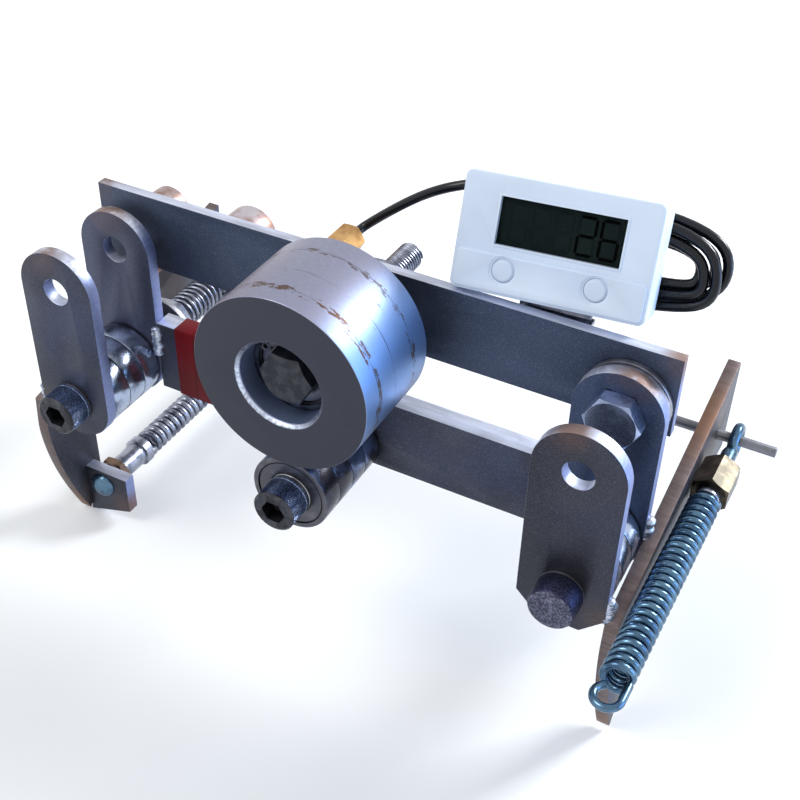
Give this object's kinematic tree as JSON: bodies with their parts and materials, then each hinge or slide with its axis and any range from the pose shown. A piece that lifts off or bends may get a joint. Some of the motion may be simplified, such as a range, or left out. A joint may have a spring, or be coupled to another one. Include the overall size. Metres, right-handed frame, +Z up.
{
  "type": "cable length counter",
  "caption": "Cable length counter: a steel measuring wheel on a hinged arm over three ball-bearing rollers, with a small digital display.",
  "frame": {"origin": "middle of the left side arm's flat lower edge, where it sits on the machine", "axes": "+X to the right along the bars, +Y to the rear, +Z up"},
  "size_m": [0.266, 0.1821, 0.1822],
  "materials": {
    "frame_steel": "satin",
    "weld_metal": "glossy",
    "dark_steel": "satin",
    "white_zinc": "glossy",
    "blue_zinc": "glossy",
    "yellow_zinc": "satin",
    "brown_steel": "satin",
    "bearing_steel": "glossy",
    "wheel_steel": "satin",
    "sensor_brass": "satin",
    "red_tape": "glossy",
    "white_case": "satin",
    "white_button": "satin",
    "lcd_glass": "glossy",
    "clear_window": "glossy",
    "board_green": "satin",
    "cable_jacket": "satin",
    "tie_nylon": "satin"
  },
  "bodies": {
    "root": {"lower_bar": "frame_steel", "red_band": "red_tape", "left_front_lug": "frame_steel", "left_rear_lug": "frame_steel", "right_front_lug": "frame_steel", "right_rear_lug": "frame_steel", "left_side_arm": "frame_steel", "right_side_arm": "frame_steel", "left_spring_tab": "frame_steel", "weld_beads": "weld_metal", "cross_rod": "dark_steel", "tab_bolt": "dark_steel", "tab_nut": "brown_steel", "spring_plug": "white_zinc", "left_tension_spring": "white_zinc", "right_eye_bolt": "blue_zinc", "right_spring_nut": "yellow_zinc", "right_spring_sleeve": "white_zinc", "right_tension_spring": "blue_zinc", "left_roller_screw": "dark_steel", "left_tail_sleeve": "white_zinc", "left_tail_spring": "white_zinc", "middle_roller_screw": "dark_steel", "right_roller_pin": "dark_steel", "frame_nuts": "white_zinc", "frame_washers": "white_zinc", "large_washers": "white_zinc", "roller_shims": "white_zinc", "roller_inner_rings": "bearing_steel", "pivot_bolt": "dark_steel"},
    "upper_arm": {"upper_bar": "frame_steel", "axle_bolt": "dark_steel", "axle_spacers": "white_zinc", "axle_nut": "white_zinc", "axle_inner_rings": "bearing_steel", "sensor_body": "sensor_brass", "sensor_nuts": "sensor_brass", "rear_spacers": "dark_steel", "display_bracket": "white_zinc", "bracket_screws": "white_zinc", "display_pad": "white_case", "display_back": "white_case", "display_front": "white_case", "lcd_panel": "lcd_glass", "lcd_window": "clear_window", "circuit_board": "board_green", "button_cell": "white_zinc", "sensor_cable": "cable_jacket", "cable_coil": "cable_jacket", "cable_tie": "tie_nylon"},
    "measuring_wheel": {"wheel": "wheel_steel", "wheel_outer_rings": "bearing_steel", "wheel_clip": "dark_steel", "wheel_magnet": "white_zinc"},
    "left_roller_body": {"left_roller": "bearing_steel"},
    "middle_roller_body": {"middle_roller": "bearing_steel"},
    "right_roller_body": {"right_roller": "bearing_steel"},
    "pause_key": {"pause_button": "white_button"},
    "reset_key": {"reset_button": "white_button"}
  },
  "joints": [
    {"name": "arm_swing", "type": "hinge", "parent": "root", "child": "upper_arm", "pos_m": [0.215, -0.027, 0.068], "axis": [0, 1, 0], "range_deg": [-4, 60]},
    {"name": "wheel_spin", "type": "hinge", "parent": "upper_arm", "child": "measuring_wheel", "pos_m": [0.1188, -0.065, 0.0736], "axis": [0, 1, 0], "continuous": true},
    {"name": "left_roller_spin", "type": "hinge", "parent": "root", "child": "left_roller_body", "pos_m": [0.018, -0.053, 0.0195], "axis": [0, 1, 0], "continuous": true},
    {"name": "middle_roller_spin", "type": "hinge", "parent": "root", "child": "middle_roller_body", "pos_m": [0.1155, -0.058, 0.0195], "axis": [0, 1, 0], "continuous": true},
    {"name": "right_roller_spin", "type": "hinge", "parent": "root", "child": "right_roller_body", "pos_m": [0.215, -0.053, 0.0195], "axis": [0, 1, 0], "continuous": true},
    {"name": "pause_press", "type": "slide", "parent": "upper_arm", "child": "pause_key", "axis": [-0.0642, 0.9183, -0.3907], "range_m": [0, 0.0008], "stiffness_N_per_m": 500, "springref_m": -0.0006},
    {"name": "reset_press", "type": "slide", "parent": "upper_arm", "child": "reset_key", "axis": [-0.0642, 0.9183, -0.3907], "range_m": [0, 0.0008], "stiffness_N_per_m": 500, "springref_m": -0.0006}
  ]
}
